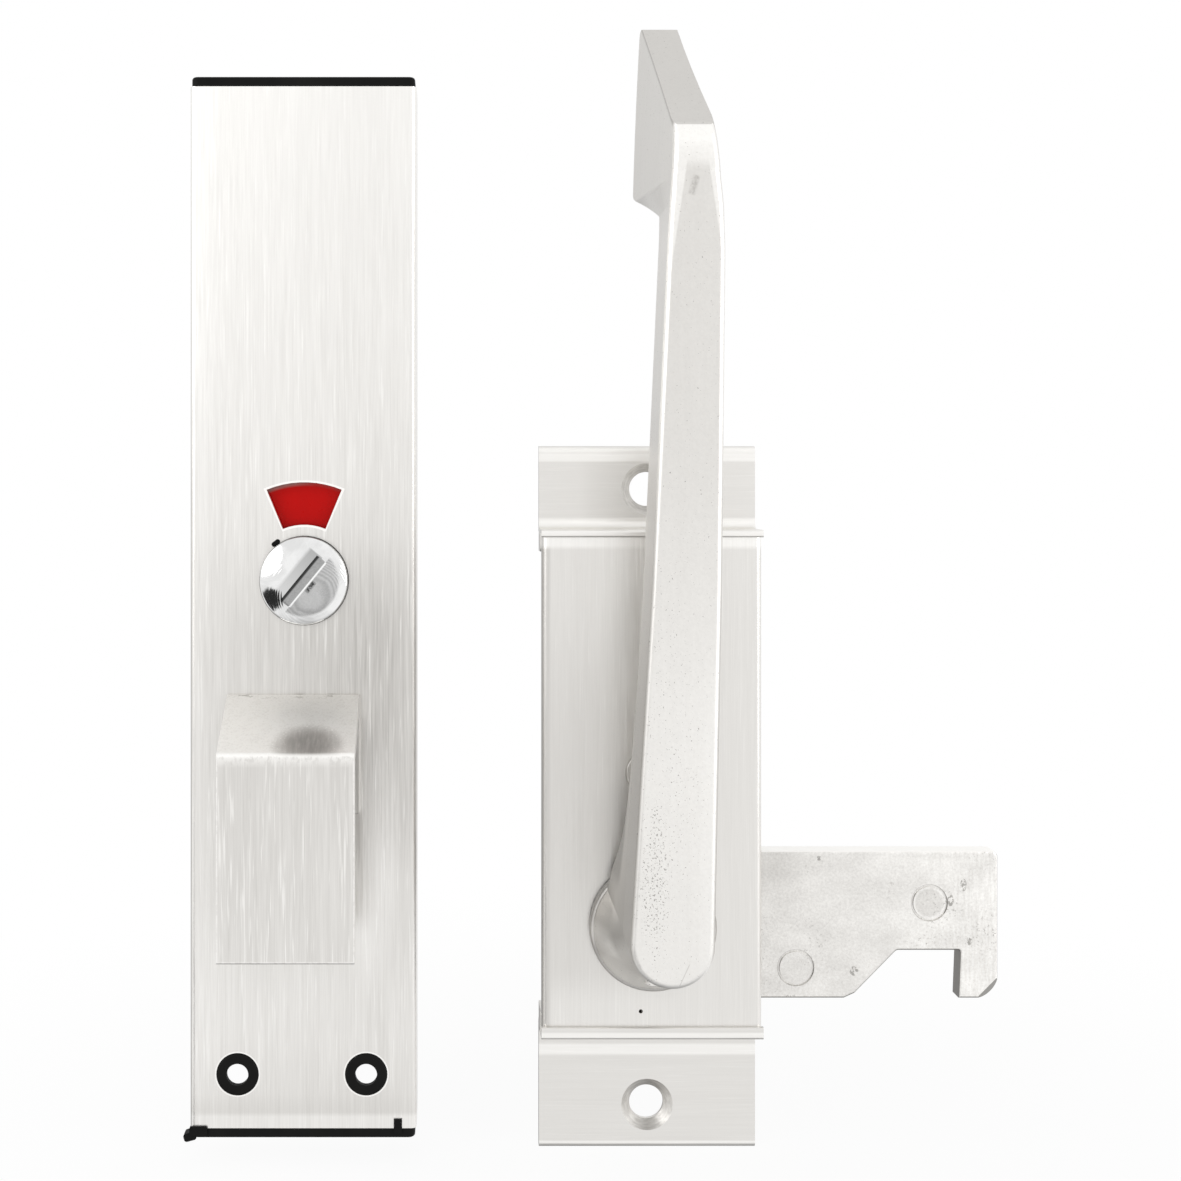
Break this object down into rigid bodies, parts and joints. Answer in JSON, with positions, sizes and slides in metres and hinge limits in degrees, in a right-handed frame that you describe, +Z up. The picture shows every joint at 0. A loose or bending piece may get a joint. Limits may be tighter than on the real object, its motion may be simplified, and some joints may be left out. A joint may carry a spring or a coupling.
{
  "type": "toilet indicator bolt",
  "caption": "Toilet indicator bolt: outside plate with coin turn, red and green window and pull, and inside lock body with long lever and swinging hook bolt.",
  "frame": {"origin": "midway between the two fixing holes of the lock body, on the door face", "axes": "+X to the right seen from the front, +Z up, -Y out of the door towards the user"},
  "size_m": [0.1815, 0.0945, 0.2494],
  "materials": {
    "brushed_plate": "brushed along its height, anodised",
    "brushed_pull": "brushed along its height, anodised",
    "brushed_cover": "brushed along its height, anodised",
    "bracket_metal": "extruded, fine lines along its width",
    "cast_lever": "satin casting",
    "cast_bolt": "dull casting, mottled",
    "turn_chrome": "polished",
    "rivet_metal": "satin",
    "steel": "zinc plated",
    "dark_steel": "blackened",
    "indicator_red": "gloss, with a green sector",
    "black_plastic": "matte moulding",
    "nylon": "matte"
  },
  "bodies": {
    "root": {"outer_plate": "brushed_plate", "top_end_cap": "black_plastic", "bottom_end_cap": "black_plastic", "backing_plate": "black_plastic", "pull_handle": "brushed_pull", "pull_screws": "steel", "turn_washer": "black_plastic", "spring_washer": "steel", "top_bracket": "bracket_metal", "bottom_bracket": "bracket_metal", "body_cover": "brushed_cover", "spring_rivet": "rivet_metal", "friction_spring": "steel", "back_plate": "steel", "back_plate_rivets": "steel", "bolt_washer": "nylon", "lever_bush": "nylon"},
    "lever": {"lever_handle": "cast_lever", "hook_bolt": "cast_bolt", "spindle": "steel", "spindle_clip": "steel", "lever_grub_screw": "dark_steel"},
    "turn": {"coin_turn": "turn_chrome", "indicator_disc": "indicator_red", "turn_clip": "steel"}
  },
  "joints": [
    {"name": "lever_turn", "type": "hinge", "parent": "root", "child": "lever", "pos_m": [0, 0, -0.0264], "axis": [0, -1, 0], "range_deg": [0, 90]},
    {"name": "coin_turn_spin", "type": "hinge", "parent": "root", "child": "turn", "pos_m": [-0.0767, 0, 0.0494], "axis": [0, 1, 0], "range_deg": [0, 90]}
  ]
}
